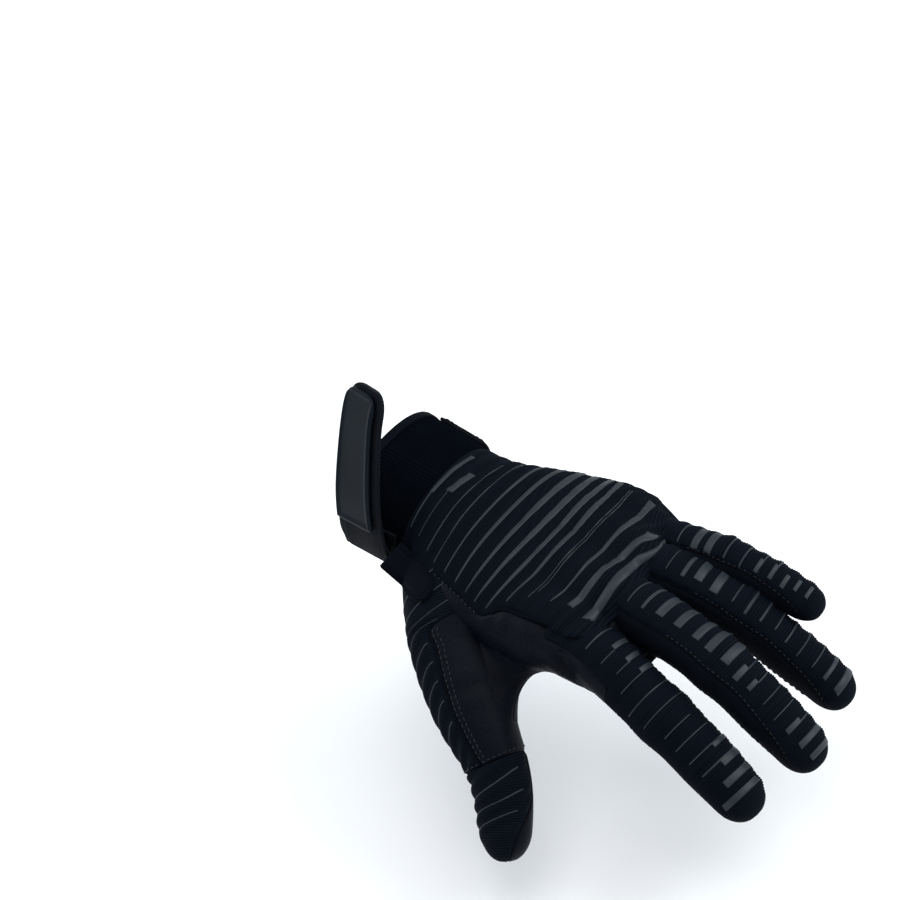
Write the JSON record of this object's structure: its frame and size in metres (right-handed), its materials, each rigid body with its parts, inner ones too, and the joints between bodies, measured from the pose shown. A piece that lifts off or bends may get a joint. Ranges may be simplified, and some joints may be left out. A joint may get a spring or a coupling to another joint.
{
  "type": "skateboard glove",
  "caption": "Full-finger left glove in ribbed stretch cloth with raised cross stripes, leather palm and an open wrist strap.",
  "frame": {"origin": "middle of the wrist opening, where the forearm comes in", "axes": "+X from the wrist to the fingertips, +Y to the little-finger side, +Z out of the back of the hand"},
  "size_m": [0.2224, 0.1489, 0.1399],
  "materials": {
    "ribbed_cloth": "matte ribbed stretch cloth",
    "raised_print": "satin raised rubber print",
    "leather": "satin pebbled leather",
    "side_cloth": "smooth matte stretch cloth",
    "rib_knit": "matte rib knit",
    "elastic_band": "embossed woven elastic",
    "binding_tape": "matte folded tape",
    "strap_rubber": "satin moulded rubber",
    "stitching": "twisted thread"
  },
  "bodies": {
    "root": {"back_panel": "ribbed_cloth", "palm_panel": "leather", "outer_side_panel": "side_cloth", "index_side_panel": "side_cloth", "fourchette_index_middle": "side_cloth", "fourchette_middle_ring": "side_cloth", "fourchette_ring_little": "side_cloth", "thumb_back": "ribbed_cloth", "thumb_gusset": "leather", "thumb_tip": "ribbed_cloth", "thumb_pad": "leather", "rib_cuff": "rib_knit", "cuff_binding": "binding_tape", "cuff_band": "elastic_band", "closure_pad": "side_cloth", "strap": "elastic_band", "strap_tab": "strap_rubber"}
  },
  "joints": []
}
